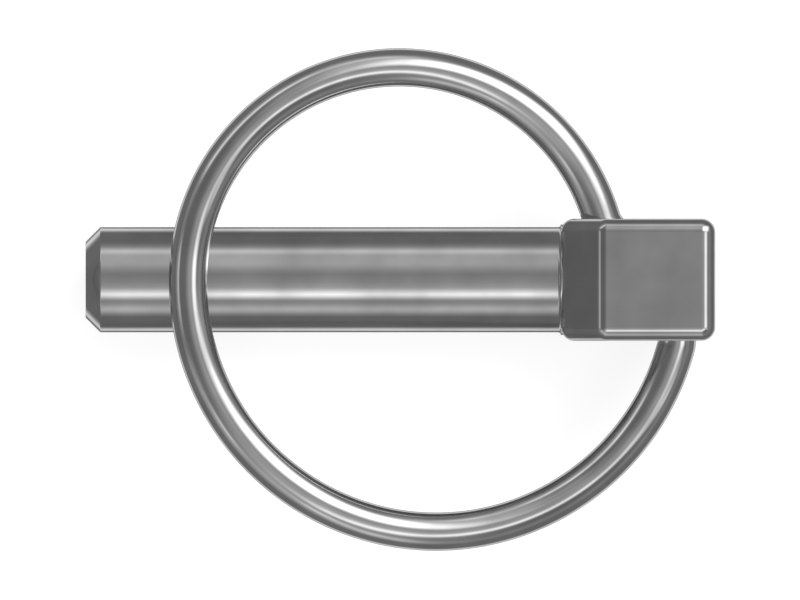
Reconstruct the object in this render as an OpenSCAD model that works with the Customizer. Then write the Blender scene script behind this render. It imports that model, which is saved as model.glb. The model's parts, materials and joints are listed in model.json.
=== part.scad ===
// Lynch pin: a forged pin with a square head, and a round spring ring hinged in the head.
// +X runs from the tip to the head, and +Z is the side that the closed ring lies on.
// The origin is on the shank's axis, at the shoulder where the shank meets the head.

/* [Shank] */
// Diameter of the shank
shank_d = 10; // [9.6:0.1:10.4]
// Length of the shank from the shoulder to the tip
shank_length = 45.2; // [42:0.1:60]
// Width of the 45 degree chamfer at the tip
tip_chamfer = 1.4; // [0.5:0.1:2.5]
// Radius of the fillet at the shoulder
shoulder_fillet = 0.25; // [0.1:0.05:0.4]

/* [Head] */
// Length of the head along the shank
head_length = 14.7; // [14.5:0.1:18]
// Width of the head across the shank
head_width = 11.6; // [11.4:0.1:12.2]
// Height of the head's front face over the shank's axis
head_front = 8.9; // [8.5:0.1:10]
// Depth of the head's back face under the shank's axis
head_back = 5.8; // [5.6:0.1:7]
// Size of the 45 degree slope from the shoulder up to the front face
head_slope = 3.85; // [3:0.05:4.5]
// Radius of the head's edges
edge_r = 1.3; // [0.8:0.1:1.6]

/* [Ring] */
// Diameter of the ring's wire
wire_d = 3.65; // [3.2:0.05:3.8]
// Radius of the ring's narrow side, at the middle of the wire
narrow_r = 20.2; // [20:0.1:21]
// How much larger the radius of the ring's wide side is
wide_extra = 3.55; // [3:0.05:4]
// Distance from the shoulder to the narrow side's centre, in the ring's plane
centre_reach = 15.45; // [15.2:0.05:15.8]
// Turn of the ring's long line, off the shank's line
ring_turn = -3.5; // [-5:0.1:0]
// Tilt of the ring's plane when it is closed
ring_tilt = 6; // [5:0.5:8]
// Gap between the closed ring and the shank
ring_gap = 0.6; // [0.3:0.05:1]

/* [Hinge] */
// Clearance around the wire in its bore
bore_clearance = 0.08; // [0.05:0.01:0.15]
// Length of each end of the wire inside the bore
stub_length = 5; // [4:0.5:5.5]
// Depth of the wire's two knees behind the sides of the head
knee_depth = 0.3; // [0:0.1:0.5]
// Furthest that the ring swings open, in degrees
ring_swing = 110; // [60:5:110]

/* [Hidden] */
$fn = 96;
cut = 30;               // longer than any side of the head
corner_step = 90 / 8;   // turn from one point to the next round a corner
knuckle = 0.03;         // how far the rounded knee stands out of the wire
root = 0.8;             // how far the shank and its fillet run on into the head
relief_gap = 0.15;      // room between the swinging wire and the wide mouth's relief
relief_length = 7;      // how far each mouth's cutter runs out of the head
relief_legs = 6;        // places of the swinging wire that the relief joins, after the first
relief_bend = 9;        // how far the wire bends within the relief, in degrees
flare_angle = 19;       // half angle of the countersink at the narrow mouth
flare_start = 0.75;     // depth of the countersink's start behind the knee

wire_r = wire_d / 2;
bore_r = wire_r + bore_clearance;
side = head_width / 2;
knee_y = side - knee_depth;

// The ring is laid out flat, with x from the shoulder, and is tilted afterwards.
wide_r = narrow_r + wide_extra;
narrow_centre = [-centre_reach, 0];
wide_centre = narrow_centre + wide_extra * along(ring_turn);
narrow_end = asin(knee_y / narrow_r);
wide_end = -asin((knee_y + wide_centre.y) / wide_r);
narrow_knee = narrow_centre + narrow_r * along(narrow_end);
wide_knee = wide_centre + wide_r * along(wide_end);

function along(angle) = [cos(angle), sin(angle)];

// The hinge line runs through both knees. The ring tilts about its crossing of the shank's line.
hinge = narrow_knee - wide_knee;
hinge_heading = atan2(hinge.y, hinge.x);
pivot_x = wide_knee.x - hinge.x * wide_knee.y / hinge.y;
reach = pivot_x + centre_reach + narrow_r;
pivot_z = shank_d / 2 + ring_gap + wire_r - reach * sin(ring_tilt);

// Puts what is drawn in the flat ring's plane where the closed ring lies.
module ring_plane() {
    translate([pivot_x * cos(ring_tilt), 0, pivot_z])
        rotate([0, ring_tilt, 0])
            translate([-pivot_x, 0, 0])
                children();
}

// Turns what is drawn along +Z into the ring's plane, at a point and along a heading.
module laid(start, heading) {
    translate([start.x, start.y, 0])
        rotate([0, 0, heading])
            rotate([0, 90, 0])
                children();
}

// A round bar bent to an arc about the Z axis, from the +X axis on.
module bow(radius, angle) {
    rotate_extrude(angle = angle)
        translate([radius, 0])
            circle(r = wire_r);
}

// One end of the wire: a knee, and the stub that turns in the bore.
module ring_end(knee, heading) {
    laid(knee, heading) {
        sphere(r = wire_r + knuckle);
        cylinder(r = wire_r, h = stub_length);
    }
}

function corner(centre, from, to) =
    [for (a = [from : corner_step : to + 0.01]) centre + edge_r * along(a)];

// A plate's outline with rounded corners, from one corner to the opposite one.
module plate(low, high) {
    inner = [low.x + edge_r, low.y + edge_r];
    outer = [high.x - edge_r, high.y - edge_r];
    polygon(concat(corner(inner, 180, 270), corner([outer.x, inner.y], 270, 360),
                   corner(outer, 0, 90), corner([inner.x, outer.y], 90, 180)));
}

// The head's outline seen from the side, with its slope up to the front face.
module side_outline() {
    low = -head_back + edge_r;
    high = head_front - edge_r;
    lean = edge_r * tan(22.5);
    polygon(concat(corner([edge_r, low], 180, 270),
                   corner([head_length - edge_r, low], 270, 360),
                   corner([head_length - edge_r, high], 0, 90),
                   corner([head_slope + lean, high], 90, 135),
                   corner([edge_r, head_front - head_slope - lean], 135, 180)));
}

// The head's block: its side outline, crossed with plates that round the other edges.
module head_block() {
    intersection() {
        rotate([90, 0, 0])
            linear_extrude(height = cut, center = true)
                side_outline();
        translate([0, 0, -cut / 2])
            linear_extrude(height = cut)
                plate([0, -side], [head_length, side]);
        rotate([90, 0, 90])
            translate([0, 0, -cut / 2])
                linear_extrude(height = 2 * cut)
                    plate([-side, -head_back], [side, head_front]);
        translate([head_slope, 0, head_front])
            rotate([0, -45, 0])
                rotate([90, 0, 90])
                    linear_extrude(height = 2 * cut, center = true)
                        plate([-side, -cut], [side, 0]);
    }
}

// Room for the wire at the wide mouth, from the closed ring to the open one.
module swing_relief() {
    hull()
        for (leg = [0 : relief_legs], bend = [0, relief_bend / 2])
            translate([wide_knee.x, wide_knee.y, 0])
                rotate(a = ring_swing * leg / relief_legs, v = [hinge.x, hinge.y, 0])
                    laid([0, 0], wide_end - 90 - bend)
                        cylinder(r = wire_r + relief_gap, h = relief_length, $fn = 32);
}

// The bore for both ends of the ring, opened out at its mouths.
module hinge_bore() {
    laid(narrow_knee, hinge_heading)
        rotate_extrude()
            polygon([[0, -cut], [bore_r, -cut], [bore_r, -flare_start],
                     [bore_r + (relief_length + flare_start) * tan(flare_angle), relief_length],
                     [0, relief_length]]);
    swing_relief();
}

// The shank, with its chamfered tip and a small fillet at the shoulder.
module shank() {
    r = shank_d / 2;
    rotate([0, 90, 0]) {
        translate([0, 0, tip_chamfer - shank_length])
            cylinder(r = r, h = shank_length - tip_chamfer + root);
        translate([0, 0, -shank_length])
            cylinder(r1 = r - tip_chamfer, r2 = r, h = tip_chamfer);
        rotate_extrude()
            translate([0, -shoulder_fillet])
                difference() {
                    square([r + shoulder_fillet, shoulder_fillet + root]);
                    translate([r + shoulder_fillet, 0]) circle(r = shoulder_fillet);
                }
    }
}

module headed_pin() {
    color("#8c8e90")
        difference() {
            union() {
                shank();
                head_block();
            }
            ring_plane() hinge_bore();
        }
}

module spring_ring() {
    color("#a2a4a6")
        ring_plane() {
            translate([narrow_centre.x, narrow_centre.y, 0])
                rotate([0, 0, ring_turn])
                    union() {
                        mirror([1, 0, 0])
                            bow(narrow_r, 180 - narrow_end + ring_turn);
                        translate([wide_extra, 0, 0])
                            rotate([0, 0, 180])
                                bow(wide_r, 180 + wide_end - ring_turn);
                    }
            ring_end(narrow_knee, hinge_heading + 180);
            ring_end(wide_knee, hinge_heading);
        }
}

headed_pin();
spring_ring();
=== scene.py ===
"""Lynch pin: a forged pin with a square head, and the spring ring that closes over its shank.

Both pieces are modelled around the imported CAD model, in metres and in its frame: x runs along
the shank to the head, z points up to the side that the closed ring lies on, and the origin is
where the shank meets the head.
"""

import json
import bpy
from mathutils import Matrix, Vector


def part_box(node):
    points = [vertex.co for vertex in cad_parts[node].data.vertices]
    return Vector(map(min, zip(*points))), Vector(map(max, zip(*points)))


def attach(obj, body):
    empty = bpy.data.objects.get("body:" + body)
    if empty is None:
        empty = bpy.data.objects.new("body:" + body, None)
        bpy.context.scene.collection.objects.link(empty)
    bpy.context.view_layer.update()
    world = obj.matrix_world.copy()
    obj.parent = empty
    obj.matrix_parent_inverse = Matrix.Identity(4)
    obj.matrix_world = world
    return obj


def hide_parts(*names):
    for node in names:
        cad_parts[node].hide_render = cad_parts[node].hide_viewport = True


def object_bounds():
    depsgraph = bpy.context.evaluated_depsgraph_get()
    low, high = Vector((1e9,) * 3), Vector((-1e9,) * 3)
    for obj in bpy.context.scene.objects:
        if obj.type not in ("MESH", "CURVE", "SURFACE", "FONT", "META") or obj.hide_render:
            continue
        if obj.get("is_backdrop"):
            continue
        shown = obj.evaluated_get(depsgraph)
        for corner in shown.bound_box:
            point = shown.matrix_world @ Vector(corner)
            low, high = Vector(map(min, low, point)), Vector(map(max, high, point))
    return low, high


bl_info = {
    "name": "Lynch Pin",
    "version": (1, 0, 0),
    "blender": (4, 5, 0),
    "location": "View3D > Sidebar > Lynch Pin",
    "description": "Models a lynch pin's forged pin and spring ring, their plating and a studio",
    "category": "Add Mesh",
}

from math import asin, atan2, cos, pi, radians, sin, sqrt, tan

import bmesh
import bpy
from bpy.props import FloatProperty, PointerProperty, StringProperty
from bpy.types import Operator, Panel, PropertyGroup
from mathutils import Matrix, Vector

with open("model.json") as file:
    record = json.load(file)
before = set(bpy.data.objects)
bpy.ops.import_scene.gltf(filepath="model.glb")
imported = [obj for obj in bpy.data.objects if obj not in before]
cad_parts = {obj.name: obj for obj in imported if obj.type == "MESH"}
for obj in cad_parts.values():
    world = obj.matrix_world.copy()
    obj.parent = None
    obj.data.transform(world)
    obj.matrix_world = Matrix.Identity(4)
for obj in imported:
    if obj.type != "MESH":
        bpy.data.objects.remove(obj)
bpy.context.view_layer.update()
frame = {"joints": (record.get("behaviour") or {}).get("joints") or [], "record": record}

MM = 0.001
PIN_NODE, RING_NODE = "headed_pin", "spring_ring"
PIN_BODY, RING_BODY = "pin", "ring"

pin_low, pin_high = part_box(PIN_NODE)
shank_mount = next(m for m in frame["record"]["mounts"] if m["name"] == "shank")
hinge_joint = frame["joints"][0]

# How finely the pieces are drawn.
EDGE_STEPS = 16  # steps in a quarter turn of the head's rounded edges
FILLET_STEPS = 10  # steps in the quarter turn of the shoulder's fillet
SHANK_SIDES = 128
BORE_SIDES = 64
RELIEF_SIDES = 48
WIRE_SIDES = 64
BOW_STEP = radians(1.5)  # turn of the wire from one ring of vertices to the next, in a bow
KNEE_STEP = radians(5)  # the same in a knee
PIN_SHARP = radians(22)  # faces of the pin that meet at more than this show an edge
RING_SHARP = radians(50)  # the same for the ring

# Where the pin is hidden, or is cut away for the ring.
SHANK_ROOT = 0.8 * MM  # how far the shank and its fillet run on into the head
BORE_START = 10 * MM  # how far outside the wide knee the bore's cutter starts
BORE_LENGTH = 35 * MM
FLARE_SLOPE = tan(radians(19))  # slope of the countersink at the narrow mouth
FLARE_START = 1.5 * MM  # how far inside the narrow knee its cone starts
FLARE_END = 7 * MM  # how far outside the narrow knee its cone ends
RELIEF_GAP = 0.15 * MM  # room between the swinging wire and the wide mouth's relief
RELIEF_LENGTH = 7 * MM  # how far the relief runs out of the head
RELIEF_LEGS = 6  # places of the swinging wire that the relief joins, after the first
RELIEF_BEND = radians(4.5)  # bend of the wire within the relief

# How close is close, when a mesh is put in order.
SAME_PLACE = 1e-7  # points closer than this were meant to be one
SAME_PLANE = radians(0.2)  # faces that meet at less than this are one flat face
SEAM_GAP = 0.002 * MM  # points that a cut leaves closer than this are joined
SLIVER = 0.0005 * MM  # and faces that it leaves narrower than this are dropped


# ---------------------------------------------------------------- sizes and finishes


class LynchPinSizes(PropertyGroup):
    """Sizes of the real object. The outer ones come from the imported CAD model."""

    shank_radius: FloatProperty(
        name="Shank radius",
        description="Radius of the round shank",
        default=shank_mount["dims"]["r_mm"] * MM,
        unit="LENGTH",
    )
    tip_chamfer: FloatProperty(
        name="Tip chamfer",
        description="Length and depth of the 45 degree chamfer at the tip",
        default=1.4 * MM,
        unit="LENGTH",
    )
    shoulder_fillet: FloatProperty(
        name="Shoulder fillet",
        description="Radius of the fillet where the shank meets the head",
        default=0.25 * MM,
        unit="LENGTH",
    )
    head_slope: FloatProperty(
        name="Head slope",
        description="How far the 45 degree slope reaches back from the front face's edge",
        default=3.85 * MM,
        unit="LENGTH",
    )
    edge_radius: FloatProperty(
        name="Edge radius",
        description="Radius of the forged head's rounded edges",
        default=1.3 * MM,
        unit="LENGTH",
    )
    crisp_edge: FloatProperty(
        name="Turned edge",
        description="Width of the break on the tip's turned edges",
        default=0.05 * MM,
        unit="LENGTH",
    )
    wire_radius: FloatProperty(
        name="Wire radius",
        description="Radius of the ring's spring wire",
        default=1.825 * MM,
        unit="LENGTH",
    )
    bore_clearance: FloatProperty(
        name="Bore clearance",
        description="Room round the wire in its bore",
        default=0.08 * MM,
        unit="LENGTH",
    )
    narrow_radius: FloatProperty(
        name="Narrow bow",
        description="Radius of the wire's middle line on the ring's narrow side",
        default=20.2 * MM,
        unit="LENGTH",
    )
    wide_extra: FloatProperty(
        name="Wide bow, extra",
        description="How much larger the ring's wide side is",
        default=3.55 * MM,
        unit="LENGTH",
    )
    centre_reach: FloatProperty(
        name="Centre reach",
        description="How far the narrow bow's centre lies from the shoulder",
        default=15.45 * MM,
        unit="LENGTH",
    )
    ring_turn: FloatProperty(
        name="Ring turn",
        description="Turn of the ring's far point about the narrow bow's centre",
        default=radians(-3.5),
        unit="ROTATION",
        subtype="ANGLE",
    )
    ring_tilt: FloatProperty(
        name="Ring tilt",
        description="Rise of the closed ring's plane from the hinge to the far end",
        default=radians(6),
        unit="ROTATION",
        subtype="ANGLE",
    )
    knee_depth: FloatProperty(
        name="Knee depth",
        description="How deep in the bore's mouths the wire bends into the hinge line",
        default=0.3 * MM,
        unit="LENGTH",
    )
    knee_radius: FloatProperty(
        name="Knee bend",
        description="Bend radius of the wire's middle line at each knee",
        default=2 * MM,
        unit="LENGTH",
    )
    stub_length: FloatProperty(
        name="Stub length",
        description="Length of each wire end inside the bore",
        default=5 * MM,
        unit="LENGTH",
    )


class LynchPinFinish(PropertyGroup):
    """Colours and surface of the plated steel."""

    pin_colour: StringProperty(
        name="Pin",
        description="Plated steel of the forged pin, as an sRGB hex colour",
        default="#939393",
    )
    ring_colour: StringProperty(
        name="Ring",
        description="Plated steel of the spring wire, as an sRGB hex colour",
        default="#9A9A9A",
    )
    pin_roughness: FloatProperty(
        name="Pin roughness",
        description="How much the forged pin's surface blurs what it mirrors",
        default=0.11,
        min=0,
        max=1,
        subtype="FACTOR",
    )
    ring_roughness: FloatProperty(
        name="Ring roughness",
        description="How much the drawn wire's surface blurs what it mirrors",
        default=0.1,
        min=0,
        max=1,
        subtype="FACTOR",
    )


class LynchPinStudio(PropertyGroup):
    """Camera, floor and light."""

    view_width: FloatProperty(
        name="View width",
        description="Width of what the camera sees",
        default=76.1 * MM,
        unit="LENGTH",
    )
    floor_size: FloatProperty(
        name="Floor size",
        description="Side of the square floor",
        default=2,
        unit="LENGTH",
    )
    floor_colour: StringProperty(
        name="Floor",
        description="Matt white floor, as an sRGB hex colour",
        default="#969696",
    )
    room_level: FloatProperty(
        name="Room level",
        description="Brightness of the room between the soft boxes",
        default=0.35,
        min=0,
    )
    second_mirror_lift: FloatProperty(
        name="Second mirror lift",
        description="How much brighter the room shows in metal that is seen in other metal",
        default=0.45,
        min=0,
    )


# ---------------------------------------------------------------- small helpers


def linear(hex_colour):
    """An sRGB hex colour as linear RGBA."""
    channels = [int(hex_colour[i : i + 2], 16) / 255 for i in (1, 3, 5)]
    return [c / 12.92 if c <= 0.04045 else ((c + 0.055) / 1.055) ** 2.4 for c in channels] + [1]


def add_node(tree, kind, settings=(), **inputs):
    """Adds a shader node, with its own settings.

    An input is a value, an output socket, or another node, whose first output is linked. Inputs
    that have no name of their own are _0, _1 and _2.
    """
    made = tree.nodes.new("ShaderNode" + kind)
    for name, value in dict(settings).items():
        setattr(made, name, value)
    for name, value in inputs.items():
        socket = made.inputs[int(name[1:]) if name[0] == "_" else name.replace("_", " ")]
        if isinstance(value, bpy.types.Node):
            value = value.outputs[0]
        if isinstance(value, bpy.types.NodeSocket):
            tree.links.new(value, socket)
        else:
            socket.default_value = value
    return made


def emptied_tree(owner):
    """The node tree of a new material or world, without its first nodes."""
    owner.use_nodes = True
    owner.node_tree.nodes.clear()
    return owner.node_tree


def heading(angle):
    """The direction in the flat ring's plane at an angle from the x axis."""
    return Vector((cos(angle), sin(angle), 0))


def turn_between(middle, a, b):
    """Signed turn about a centre from one point to another, the short way."""
    angle = atan2((b - middle).y, (b - middle).x) - atan2((a - middle).y, (a - middle).x)
    return (angle + pi) % (2 * pi) - pi


def edges_of(geometry):
    """The edges in a list of a bmesh's parts."""
    return [g for g in geometry if isinstance(g, bmesh.types.BMEdge)]


def bar(bm, radius, start, direction, length, sides, end_radius=None):
    """A round bar, or a cone, from a start point along a direction."""
    turn = direction.to_track_quat("Z", "Y").to_matrix().to_4x4()
    bmesh.ops.create_cone(
        bm,
        cap_ends=True,
        segments=sides,
        radius1=radius,
        radius2=radius if end_radius is None else end_radius,
        depth=length,
        matrix=Matrix.Translation(start + direction * length / 2) @ turn,
    )


def shrink_wrap_hull(bm):
    """Replaces a bmesh by its convex hull, with flat neighbours joined."""
    bmesh.ops.delete(bm, geom=bm.edges[:], context="EDGES_FACES")
    bmesh.ops.convex_hull(bm, input=bm.verts[:])
    bmesh.ops.delete(bm, geom=[v for v in bm.verts if not v.link_faces], context="VERTS")
    bmesh.ops.dissolve_limit(
        bm, angle_limit=SAME_PLANE, verts=bm.verts, edges=bm.edges, delimit=set()
    )
    bmesh.ops.recalc_face_normals(bm, faces=bm.faces)


def object_from(bm, name):
    """Makes a bmesh an object of the scene, at the origin."""
    mesh = bpy.data.meshes.new(name)
    bm.to_mesh(mesh)
    bm.free()
    made = bpy.data.objects.new(name, mesh)
    bpy.context.scene.collection.objects.link(made)
    return made


def cut_or_join(solid, other, operation):
    """Cuts another solid from this one, or joins it, and keeps the result as its mesh."""
    modifier = solid.modifiers.new("solid", "BOOLEAN")
    modifier.operation = operation
    modifier.solver = "EXACT"
    modifier.object = other
    bpy.context.view_layer.update()
    graph = bpy.context.evaluated_depsgraph_get()
    result = bpy.data.meshes.new_from_object(solid.evaluated_get(graph))
    solid.modifiers.clear()
    old, solid.data = solid.data, result
    bpy.data.meshes.remove(old)
    spare = other.data
    bpy.data.objects.remove(other)
    bpy.data.meshes.remove(spare)
    if not result.polygons:
        raise RuntimeError(f"{solid.name}: nothing is left after {operation}")


def close_seams(piece):
    """Joins the points that the cuts left side by side, and drops the faces that this closes up."""
    bm = bmesh.new()
    bm.from_mesh(piece.data)
    bmesh.ops.remove_doubles(bm, verts=bm.verts, dist=SEAM_GAP)
    bmesh.ops.dissolve_degenerate(bm, edges=bm.edges, dist=SEAM_GAP)
    bmesh.ops.triangulate(bm, faces=[f for f in bm.faces if len(f.verts) > 4])
    bmesh.ops.dissolve_degenerate(bm, edges=bm.edges, dist=SLIVER)
    bmesh.ops.recalc_face_normals(bm, faces=bm.faces)
    bm.to_mesh(piece.data)
    bm.free()


def finish_piece(piece, body, node, material, sharp_angle):
    """Smooth shading up to an angle, a material, and the piece's place in the CAD model."""
    piece.data.materials.clear()
    piece.data.materials.append(material)
    piece.data.polygons.foreach_set("use_smooth", [True] * len(piece.data.polygons))
    piece.data.set_sharp_from_angle(angle=sharp_angle)
    weighted = piece.modifiers.new("flat faces stay flat", "WEIGHTED_NORMAL")
    weighted.keep_sharp = True
    weighted.weight = 100  # the largest faces alone set the direction
    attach(piece, body)
    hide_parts(node)


# ---------------------------------------------------------------- the ring's layout


class RingLayout:
    """Places on the ring, laid out flat, and the matrix that puts the flat ring where it closes."""

    def __init__(self, sizes):
        knee_y = pin_high.y - sizes.knee_depth
        self.narrow_r = sizes.narrow_radius
        self.wide_r = sizes.narrow_radius + sizes.wide_extra
        self.turn = sizes.ring_turn
        self.narrow_centre = Vector((-sizes.centre_reach, 0, 0))
        self.wide_centre = self.narrow_centre + sizes.wide_extra * heading(self.turn)
        self.narrow_end = asin(knee_y / self.narrow_r)
        self.wide_end = -asin((knee_y + self.wide_centre.y) / self.wide_r)
        self.narrow_knee = self.narrow_centre + self.narrow_r * heading(self.narrow_end)
        self.wide_knee = self.wide_centre + self.wide_r * heading(self.wide_end)
        self.hinge = (self.narrow_knee - self.wide_knee).normalized()
        slope = self.hinge.x / self.hinge.y
        # The hinge line crosses the shank's line here, and the CAD joint holds the same point.
        pivot = Vector((self.wide_knee.x - slope * self.wide_knee.y, 0, 0))
        self.place = (
            Matrix.Translation(hinge_joint["pos_m"])
            @ Matrix.Rotation(sizes.ring_tilt, 4, "Y")
            @ Matrix.Translation(-pivot)
        )


# ---------------------------------------------------------------- materials

# The zinc plating. Noise textures mostly stay between the two levels.
NOISE_LOW, NOISE_HIGH = 0.25, 0.75
CLOUD_SIZE = 4 * MM
CLOUD_TONE = 0.12  # share by which a cloud is lighter or darker
CLOUD_HAZE = 0.025  # roughness that a cloud adds or takes
WAVE_SIZE, WAVE_HEIGHT = 3 * MM, 0.004 * MM
MARK_WIDTH, MARK_HEIGHT = 0.15 * MM, 0.0008 * MM

# The painted pool of light that the floor glows with in the metal: even up to one distance from its
# middle, and dim from another.
PAINTED_POOL_EDGES, PAINTED_POOL_DIM = (50 * MM, 110 * MM), 0.45
# How brightly the floor glows in the metal, a painted reflection: painted shade right under the
# object, then a painted bright band. Each is two values of Layer Weight's Facing, which is 0 where
# the floor is seen from straight above, and the strengths at them.
PAINTED_REFLECTION_RISE = (0.05, 0.2, 0.0, 1.7)
PAINTED_REFLECTION_FADE = (0.13, 0.43, 1.0, 0.0)
FLOOR_AGAIN = 0.4  # least strength of the floor in metal that is seen in other metal
TWO_MIRRORS = 1.5  # a Glossy Depth over this has met metal twice
FLOOR_GLOW = 0.8  # with the light on the paper, this shows as white


def bright_zinc_steel(name, colour, roughness, grain):
    """Zinc-plated steel. Grain scales its fine marks along x, y and z, where less is longer."""
    material = bpy.data.materials.new(name)
    tree = emptied_tree(material)
    place = add_node(tree, "TexCoord").outputs["Object"]
    # Plating bath clouds: patches about 4 mm across, lighter or darker than the rest.
    clouds = add_node(
        tree, "TexNoise", Vector=place, Scale=1 / CLOUD_SIZE, Detail=2.0, Roughness=0.45
    ).outputs["Fac"]
    tone = add_node(
        tree,
        "MapRange",
        Value=clouds,
        From_Min=NOISE_LOW,
        From_Max=NOISE_HIGH,
        To_Min=1 - CLOUD_TONE,
        To_Max=1 + CLOUD_TONE,
    )
    shade = add_node(
        tree, "VectorMath", {"operation": "SCALE"}, _0=linear(colour)[:3], Scale=tone
    )
    # Handling haze: the same clouds make the mirror a little softer where they are dark.
    haze = add_node(
        tree,
        "MapRange",
        Value=clouds,
        From_Min=NOISE_LOW,
        From_Max=NOISE_HIGH,
        To_Min=roughness + CLOUD_HAZE,
        To_Max=roughness - CLOUD_HAZE,
    )
    # Forging and drawing leave a surface that waves by a few micrometres over 3 mm.
    waves = add_node(
        tree, "TexNoise", Vector=place, Scale=1 / WAVE_SIZE, Detail=1.0, Roughness=0.4
    ).outputs["Fac"]
    wave_bump = add_node(tree, "Bump", Height=waves, Strength=1.0, Distance=WAVE_HEIGHT)
    # Fine marks along the metal, 0.15 mm wide.
    stretched = add_node(tree, "VectorMath", {"operation": "MULTIPLY"}, _0=place, _1=grain)
    marks = add_node(
        tree, "TexNoise", Vector=stretched, Scale=1 / MARK_WIDTH, Detail=2.0, Roughness=0.6
    ).outputs["Fac"]
    mark_bump = add_node(
        tree, "Bump", Height=marks, Strength=0.25, Distance=MARK_HEIGHT, Normal=wave_bump
    )
    shader = add_node(
        tree, "BsdfPrincipled", Base_Color=shade, Metallic=1.0, Roughness=haze, Normal=mark_bump
    )
    add_node(tree, "OutputMaterial", Surface=shader)
    return material


def matt_white_floor(colour, painted_pool_centre):
    """Matt white paper whose glow paints a pool of light and shade in the metal. It shows white,
    and keeps the object's shadow.
    """
    material = bpy.data.materials.new("matt white floor paper")
    tree = emptied_tree(material)
    place = add_node(tree, "TexCoord").outputs["Object"]
    from_centre = add_node(
        tree, "VectorMath", {"operation": "DISTANCE"}, _0=place, _1=painted_pool_centre
    ).outputs["Value"]
    facing = add_node(tree, "LayerWeight", Blend=0.5).outputs["Facing"]
    # The painted pool of light, and the painted shade and bright band that the metal mirrors.
    painted_pool, painted_reflection_rise, painted_reflection_fade = [
        add_node(
            tree,
            "MapRange",
            {"interpolation_type": "SMOOTHSTEP"},
            Value=value,
            From_Min=start,
            From_Max=end,
            To_Min=first,
            To_Max=last,
        )
        for value, start, end, first, last in (
            (from_centre, *PAINTED_POOL_EDGES, 1.0, PAINTED_POOL_DIM),
            (facing, *PAINTED_REFLECTION_RISE),
            (facing, *PAINTED_REFLECTION_FADE),
        )
    ]
    path = add_node(tree, "LightPath")
    met_twice = add_node(
        tree,
        "Math",
        {"operation": "GREATER_THAN"},
        _0=path.outputs["Glossy Depth"],
        _1=TWO_MIRRORS,
    )
    pale = add_node(tree, "Math", {"operation": "MULTIPLY"}, _0=FLOOR_AGAIN, _1=met_twice)
    # In the metal, the floor shows painted shade right under the object, then a painted white band,
    # and painted dimness further off. To the eye it is white all over.
    strength = painted_reflection_rise
    for operation, other in (
        ("MULTIPLY", painted_reflection_fade),
        ("MAXIMUM", pale),
        ("MULTIPLY", path.outputs["Is Glossy Ray"]),
        ("MULTIPLY", painted_pool),
        ("MAXIMUM", path.outputs["Is Camera Ray"]),
        ("MAXIMUM", path.outputs["Is Transmission Ray"]),
        ("MULTIPLY", FLOOR_GLOW),
    ):
        strength = add_node(tree, "Math", {"operation": operation}, _0=strength, _1=other)
    glow = add_node(tree, "Emission", Color=(1, 1, 1, 1), Strength=strength)
    paper = add_node(tree, "BsdfDiffuse", Color=linear(colour))
    both = add_node(tree, "AddShader", _0=glow, _1=paper)
    add_node(tree, "OutputMaterial", Surface=both)
    return material


# ---------------------------------------------------------------- pieces


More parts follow.
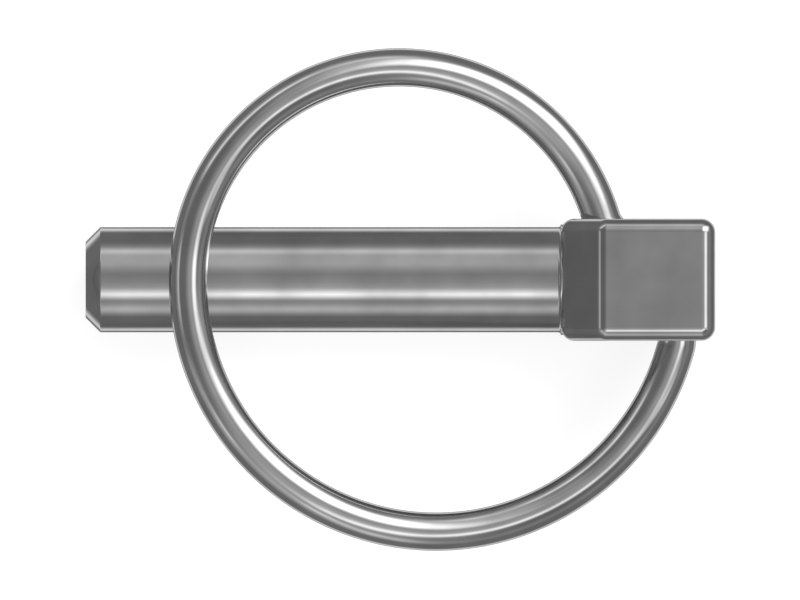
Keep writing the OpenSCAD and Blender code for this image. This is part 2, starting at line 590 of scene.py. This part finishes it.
class LYNCHPIN_OT_headed_pin(Operator):
    """Adds the forged pin: round shank, chamfered tip, square head and the bore for the ring"""

    bl_idname = "mesh.lynchpin_headed_pin"
    bl_label = "Forged pin"
    bl_options = {"REGISTER", "UNDO"}

    def head(self, sizes):
        """The head is the hull of a ball of the edge radius in each of its ten corners."""
        r = sizes.edge_radius
        low, high, lean = pin_low.z + r, pin_high.z - r, r * tan(radians(22.5))
        corners = [
            (r, low),
            (pin_high.x - r, low),
            (pin_high.x - r, high),
            (sizes.head_slope + lean, high),
            (r, pin_high.z - sizes.head_slope - lean),
        ]
        bm = bmesh.new()
        poles_sideways = Matrix.Rotation(pi / 2, 4, "X")
        for y in (pin_low.y + r, pin_high.y - r):
            for x, z in corners:
                bmesh.ops.create_uvsphere(
                    bm,
                    u_segments=4 * EDGE_STEPS,
                    v_segments=2 * EDGE_STEPS,
                    radius=r,
                    matrix=Matrix.Translation((x, y, z)) @ poles_sideways,
                )
        shrink_wrap_hull(bm)
        return object_from(bm, "forged_pin")

    def shank(self, sizes):
        """The shank is turned: a profile of a few points, spun about the x axis."""
        r, fillet, tip = sizes.shank_radius, sizes.shoulder_fillet, pin_low.x
        chamfer_end = tip + sizes.tip_chamfer
        points = [(tip, 0), (tip, r - sizes.tip_chamfer), (chamfer_end, r)]
        for i in range(FILLET_STEPS + 1):
            a = pi / 2 * i / FILLET_STEPS
            points.append((-fillet + fillet * sin(a), r + fillet - fillet * cos(a)))
        points += [(SHANK_ROOT, r + fillet), (SHANK_ROOT, 0)]
        bm = bmesh.new()
        made = [bm.verts.new((x, 0, z)) for x, z in points]
        edges = [bm.edges.new(pair) for pair in zip(made, made[1:])]
        bmesh.ops.spin(
            bm,
            geom=made + edges,
            cent=(0, 0, 0),
            axis=(1, 0, 0),
            angle=2 * pi,
            steps=SHANK_SIDES,
            use_merge=True,
        )
        bmesh.ops.remove_doubles(bm, verts=bm.verts, dist=SAME_PLACE)
        bmesh.ops.recalc_face_normals(bm, faces=bm.faces)
        # The chamfer's two rims turn by 45 degrees. Each gets a small break.
        rims = [
            e
            for e in bm.edges
            if max(v.co.x for v in e.verts) < chamfer_end + SAME_PLACE
            and abs(e.verts[0].co.x - e.verts[1].co.x) < SAME_PLACE
            and e.calc_face_angle(0) > radians(30)
        ]
        bmesh.ops.bevel(
            bm,
            geom=rims,
            offset=sizes.crisp_edge,
            segments=3,
            profile=0.5,
            affect="EDGES",
            material=-1,
        )
        return object_from(bm, "shank")

    def bore(self, sizes, layout):
        """The bore through the head, on the hinge line."""
        radius = sizes.wire_radius + sizes.bore_clearance
        start = layout.wide_knee - BORE_START * layout.hinge
        bm = bmesh.new()
        bar(bm, radius, start, layout.hinge, BORE_LENGTH, BORE_SIDES)
        bmesh.ops.transform(bm, matrix=layout.place, verts=bm.verts)
        return object_from(bm, "bore")

    def countersink(self, sizes, layout):
        """The cone that opens out the bore at its narrow mouth."""
        radius = sizes.wire_radius + sizes.bore_clearance
        bm = bmesh.new()
        bar(
            bm,
            radius - FLARE_START * FLARE_SLOPE / 2,
            layout.narrow_knee - FLARE_START * layout.hinge,
            layout.hinge,
            FLARE_END + FLARE_START,
            BORE_SIDES,
            end_radius=radius + (FLARE_END + FLARE_START / 2) * FLARE_SLOPE,
        )
        bmesh.ops.transform(bm, matrix=layout.place, verts=bm.verts)
        return object_from(bm, "countersink")

    def swing_relief(self, sizes, layout):
        """Room at the wide mouth for the wire, from the closed ring to the open one."""
        radius = sizes.wire_radius + RELIEF_GAP
        swing = radians(hinge_joint["range_deg"][1])
        bm = bmesh.new()
        for leg in range(RELIEF_LEGS + 1):
            turn = Matrix.Rotation(swing * leg / RELIEF_LEGS, 4, layout.hinge)
            for bend in (0, RELIEF_BEND):
                along = turn @ heading(layout.wide_end - pi / 2 - bend)
                bar(bm, radius, layout.wide_knee, along, RELIEF_LENGTH, RELIEF_SIDES)
        shrink_wrap_hull(bm)
        bmesh.ops.transform(bm, matrix=layout.place, verts=bm.verts)
        return object_from(bm, "swing relief")

    def execute(self, context):
        sizes, finish = context.scene.lynchpin_sizes, context.scene.lynchpin_finish
        layout = RingLayout(sizes)
        piece = self.head(sizes)
        cut_or_join(piece, self.shank(sizes), "UNION")
        for cutter in (self.bore, self.countersink, self.swing_relief):
            cut_or_join(piece, cutter(sizes, layout), "DIFFERENCE")
        close_seams(piece)
        # Forged, tumbled and zinc plated: a soft mirror with fine marks along the shank.
        along_shank = (0.08, 1, 1)
        steel = bright_zinc_steel(
            "zinc-plated forged steel", finish.pin_colour, finish.pin_roughness, along_shank
        )
        finish_piece(piece, PIN_BODY, PIN_NODE, steel, PIN_SHARP)
        return {"FINISHED"}


class LYNCHPIN_OT_spring_ring(Operator):
    """Adds the spring ring: a wire bent to a narrow and a wide bow, with a stub at each end"""

    bl_idname = "mesh.lynchpin_spring_ring"
    bl_label = "Spring ring"
    bl_options = {"REGISTER", "UNDO"}

    def turn_wire(self, bm, end, centre, angle, step):
        """Bends the wire on about a centre, and returns its new end."""
        steps = max(2, round(abs(angle) / step))
        made = bmesh.ops.spin(
            bm, geom=end, cent=centre, axis=(0, 0, 1), angle=angle, steps=steps
        )
        return made["geom_last"]

    def run_wire(self, bm, end, move):
        """Runs the wire straight on, and returns its new end."""
        made = bmesh.ops.extrude_edge_only(bm, edges=edges_of(end))["geom"]
        verts = [g for g in made if isinstance(g, bmesh.types.BMVert)]
        bmesh.ops.translate(bm, vec=move, verts=verts)
        return verts + [e for e in edges_of(made) if set(e.verts) <= set(verts)]

    def knee(self, centre, bow_radius, knee_point, stub_heading, bend, outside):
        """The bend of a knee: its centre, and where it meets the stub's line and the bow."""
        normal = Vector((-stub_heading.y, stub_heading.x, 0))
        if (normal.dot(centre - knee_point) > 0) == outside:
            normal.negate()
        # The bend's centre is somewhere beside the stub's line, at this reach from the bow's.
        reach = bow_radius + bend if outside else bow_radius - bend
        beside = knee_point + bend * normal
        base = beside - centre
        b, c = base.dot(stub_heading), base.length_squared - reach**2
        t = min((-b + s * sqrt(b * b - c) for s in (1, -1)), key=abs)
        middle = beside + t * stub_heading
        on_line = knee_point + t * stub_heading
        on_bow = centre + (middle - centre).normalized() * bow_radius
        return middle, on_line, on_bow

    def execute(self, context):
        sizes, finish = context.scene.lynchpin_sizes, context.scene.lynchpin_finish
        lay = RingLayout(sizes)
        bend = sizes.knee_radius
        narrow_bend, narrow_line, narrow_bow = self.knee(
            lay.narrow_centre, lay.narrow_r, lay.narrow_knee, lay.hinge, bend, True
        )
        wide_bend, wide_line, wide_bow = self.knee(
            lay.wide_centre, lay.wide_r, lay.wide_knee, -lay.hinge, bend, False
        )
        stub_start = lay.narrow_knee - sizes.stub_length * lay.hinge
        stub_end = lay.wide_knee + sizes.stub_length * lay.hinge
        far_point = lay.narrow_centre + lay.narrow_r * heading(pi + lay.turn)
        narrow_turn = turn_between(lay.narrow_centre, narrow_bow, far_point) % (2 * pi)
        wide_turn = turn_between(lay.wide_centre, far_point, wide_bow) % (2 * pi)

        bm = bmesh.new()
        across = lay.hinge.to_track_quat("Z", "Y").to_matrix().to_4x4()
        bmesh.ops.create_circle(
            bm,
            cap_ends=False,
            segments=WIRE_SIDES,
            radius=sizes.wire_radius,
            matrix=Matrix.Translation(stub_start) @ across,
        )
        first = bm.edges[:]
        end = self.run_wire(bm, first, narrow_line - stub_start)
        for centre, angle, step in (
            (narrow_bend, turn_between(narrow_bend, narrow_line, narrow_bow), KNEE_STEP),
            (lay.narrow_centre, narrow_turn, BOW_STEP),
            (lay.wide_centre, wide_turn, BOW_STEP),
            (wide_bend, turn_between(wide_bend, wide_bow, wide_line), KNEE_STEP),
        ):
            end = self.turn_wire(bm, end, centre, angle, step)
        end = self.run_wire(bm, end, stub_end - wide_line)
        for rim in (first, edges_of(end)):
            bmesh.ops.contextual_create(bm, geom=rim)
        bmesh.ops.transform(bm, matrix=lay.place, verts=bm.verts)
        bmesh.ops.recalc_face_normals(bm, faces=bm.faces)
        piece = object_from(bm, "spring_ring_wire")
        # Drawn spring wire, zinc plated bright: a clearer mirror than the forging.
        no_direction = (1, 1, 1)
        steel = bright_zinc_steel(
            "zinc-plated drawn spring wire", finish.ring_colour, finish.ring_roughness, no_direction
        )
        finish_piece(piece, RING_BODY, RING_NODE, steel, RING_SHARP)
        # The plating is too soft a mirror to show the ring beside it, so the metal leaves it out.
        piece.visible_glossy = False
        return {"FINISHED"}


# ---------------------------------------------------------------- stage

# What the camera looks straight down on, near the middle of the object, and from how high.
VIEW_CENTRE = Vector((-15.29 * MM, -1.93 * MM, 0))
CAMERA_HEIGHT = 0.3

# Soft boxes, placed as a mirror ball under the camera shows them, in shares of the ball's radius:
# the box's middle, its turn in degrees, its half length and half width, the softness of its edge,
# and its brightness. A black card takes light away, so its brightness is below zero.
SOFT_BOXES = {
    "key box": (0.29, 0.27, -10, 0.18, 0.16, 0.10, 4.2),
    "key spill": (0.03, 0.38, 0, 0.12, 0.18, 0.12, 0.75),
    "key fringe": (0.34, 0.24, 8, 0.26, 0.24, 0.12, 0.33),
    "key foot": (0.305, -0.01, 0, 0.085, 0.05, 0.07, 2.8),
    "right fill": (0.38, -0.145, -12, 0.08, 0.03, 0.05, 1.58),
    "long strip": (0.11, -0.22, 30, 0.19, 0.045, 0.07, 2.3),
    "strip spill": (0.03, -0.17, 22, 0.20, 0.07, 0.12, 0.67),
    "front spill": (-0.04, -0.34, 0, 0.18, 0.12, 0.12, 0.38),
    "front box": (-0.04, -0.555, 0, 0.10, 0.06, 0.10, 1),
    "back box": (0.02, 0.54, 0, 0.10, 0.02, 0.07, 1),
    "back left box": (-0.30, 0.42, 34, 0.20, 0.03, 0.06, 1.83),
    "back left spill": (-0.30, 0.45, 34, 0.30, 0.08, 0.12, 0.29),
    "left box": (-0.51, 0.0, 90, 0.10, 0.04, 0.05, 0.95),
    "left flag": (-0.71, 0.0, 90, 0.30, 0.08, 0.10, -0.11),
    "front left box": (-0.30, -0.37, -40, 0.24, 0.08, 0.12, 0.67),
    "front left lamp": (-0.36, -0.30, 0, 0.04, 0.04, 0.05, 0.83),
    "front lamp": (-0.15, -0.47, -20, 0.05, 0.03, 0.05, 0.75),
    "overhead glow": (0.04, 0.00, 0, 0.10, 0.12, 0.14, 0.44),
}
# The lit edge of the ceiling, all round: its radius, half width, softness and brightness.
COVE = (0.60, 0.05, 0.12, 0.3)


class LYNCHPIN_OT_stage(Operator):
    """Adds the floor, the soft studio light and the camera"""

    bl_idname = "scene.lynchpin_stage"
    bl_label = "Floor, light and camera"
    bl_options = {"REGISTER", "UNDO"}

    def floor(self, studio):
        """The wide sheet of paper that the object lies on."""
        low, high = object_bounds()
        bm = bmesh.new()
        bmesh.ops.create_grid(bm, x_segments=1, y_segments=1, size=studio.floor_size / 2)
        bmesh.ops.translate(bm, vec=(0, 0, low.z), verts=bm.verts)
        floor = object_from(bm, "floor")
        # Middle of the painted pool of light that the floor glows with in the metal.
        painted_pool_centre = (VIEW_CENTRE.x, VIEW_CENTRE.y, low.z)
        floor.data.materials.append(matt_white_floor(studio.floor_colour, painted_pool_centre))
        floor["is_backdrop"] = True

    def light(self, scene, studio):
        """A grey room with soft boxes far above the object. Each box fades at its edges."""
        scene.world = bpy.data.worlds.new("soft studio")
        tree = emptied_tree(scene.world)
        direction = add_node(tree, "TexCoord").outputs["Generated"]
        halfway = add_node(tree, "VectorMath", {"operation": "ADD"}, _0=direction, _1=(0, 0, 1))
        ball = add_node(tree, "VectorMath", {"operation": "NORMALIZE"}, _0=halfway)
        total = studio.room_level
        for x, y, turn, half_long, half_wide, soft, brightness in SOFT_BOXES.values():
            moved = add_node(tree, "VectorMath", {"operation": "SUBTRACT"}, _0=ball, _1=(x, y, 0))
            turned = add_node(
                tree,
                "VectorRotate",
                {"rotation_type": "Z_AXIS"},
                Vector=moved,
                Angle=radians(-turn),
            )
            away = add_node(tree, "VectorMath", {"operation": "ABSOLUTE"}, _0=turned)
            parts = add_node(tree, "SeparateXYZ", Vector=away)
            within_length, within_width = [
                add_node(
                    tree,
                    "MapRange",
                    {"interpolation_type": "SMOOTHSTEP"},
                    Value=parts.outputs[axis],
                    From_Min=half - soft,
                    From_Max=half + soft,
                    To_Min=1.0,
                    To_Max=0.0,
                )
                for axis, half in (("X", half_long), ("Y", half_wide))
            ]
            box = add_node(
                tree, "Math", {"operation": "MULTIPLY"}, _0=within_length, _1=within_width
            )
            total = add_node(
                tree, "Math", {"operation": "MULTIPLY_ADD"}, _0=box, _1=brightness, _2=total
            )
        radius, half_wide, soft, brightness = COVE
        flat = add_node(tree, "VectorMath", {"operation": "MULTIPLY"}, _0=ball, _1=(1, 1, 0))
        out = add_node(tree, "VectorMath", {"operation": "LENGTH"}, _0=flat).outputs["Value"]
        past = add_node(tree, "Math", {"operation": "SUBTRACT"}, _0=out, _1=radius)
        away = add_node(tree, "Math", {"operation": "ABSOLUTE"}, _0=past)
        cove = add_node(
            tree,
            "MapRange",
            {"interpolation_type": "SMOOTHSTEP"},
            Value=away,
            From_Min=half_wide - soft,
            From_Max=half_wide + soft,
            To_Min=1.0,
            To_Max=0.0,
        )
        total = add_node(
            tree, "Math", {"operation": "MULTIPLY_ADD"}, _0=cove, _1=brightness, _2=total
        )
        # Metal seen in other metal shows the room brighter, so its joints have no hard dark lines.
        path = add_node(tree, "LightPath")
        again = add_node(
            tree,
            "Math",
            {"operation": "SUBTRACT", "use_clamp": True},
            _0=path.outputs["Glossy Depth"],
            _1=1.0,
        )
        lift = add_node(
            tree,
            "Math",
            {"operation": "MULTIPLY_ADD"},
            _0=again,
            _1=studio.second_mirror_lift,
            _2=1.0,
        )
        level = add_node(tree, "Math", {"operation": "MULTIPLY"}, _0=total, _1=lift)
        # To the eye, the room behind the floor is as white as the floor.
        shown = add_node(
            tree, "Math", {"operation": "MAXIMUM"}, _0=level, _1=path.outputs["Is Camera Ray"]
        )
        background = add_node(tree, "Background", Color=(1, 1, 1, 1), Strength=shown)
        add_node(tree, "OutputWorld", Surface=background)

    def camera(self, scene, studio):
        """The camera, looking straight down without perspective."""
        data = bpy.data.cameras.new("camera")
        data.type = "ORTHO"
        data.ortho_scale = studio.view_width
        camera = bpy.data.objects.new("camera", data)
        camera.location = (VIEW_CENTRE.x, VIEW_CENTRE.y, CAMERA_HEIGHT)
        scene.collection.objects.link(camera)
        scene.camera = camera

    def execute(self, context):
        scene = context.scene
        studio = scene.lynchpin_studio
        self.floor(studio)
        self.light(scene, studio)
        self.camera(scene, studio)
        scene.view_settings.view_transform = "Standard"
        return {"FINISHED"}


class LYNCHPIN_PT_sidebar(Panel):
    """Lists the pieces, the stage and their settings"""

    bl_idname = "LYNCHPIN_PT_sidebar"
    bl_label = "Lynch Pin"
    bl_space_type = "VIEW_3D"
    bl_region_type = "UI"
    bl_category = "Lynch Pin"

    def draw(self, context):
        layout = self.layout
        for operator in (LYNCHPIN_OT_headed_pin, LYNCHPIN_OT_spring_ring, LYNCHPIN_OT_stage):
            layout.operator(operator.bl_idname)
        for name in GROUPS:
            group = getattr(context.scene, name)
            box = layout.box()
            for setting in group.bl_rna.properties:
                if setting.identifier not in ("rna_type", "name"):
                    box.prop(group, setting.identifier)


GROUPS = {
    "lynchpin_sizes": LynchPinSizes,
    "lynchpin_finish": LynchPinFinish,
    "lynchpin_studio": LynchPinStudio,
}
CLASSES = (
    *GROUPS.values(),
    LYNCHPIN_OT_headed_pin,
    LYNCHPIN_OT_spring_ring,
    LYNCHPIN_OT_stage,
    LYNCHPIN_PT_sidebar,
)


def register():
    for made in CLASSES:
        bpy.utils.register_class(made)
    for name, group in GROUPS.items():
        setattr(bpy.types.Scene, name, PointerProperty(type=group))


def unregister():
    for name in GROUPS:
        delattr(bpy.types.Scene, name)
    for made in reversed(CLASSES):
        bpy.utils.unregister_class(made)


def main():
    register()
    bpy.ops.mesh.lynchpin_headed_pin()
    bpy.ops.mesh.lynchpin_spring_ring()
    bpy.ops.scene.lynchpin_stage()


if __name__ == "__main__":
    main()
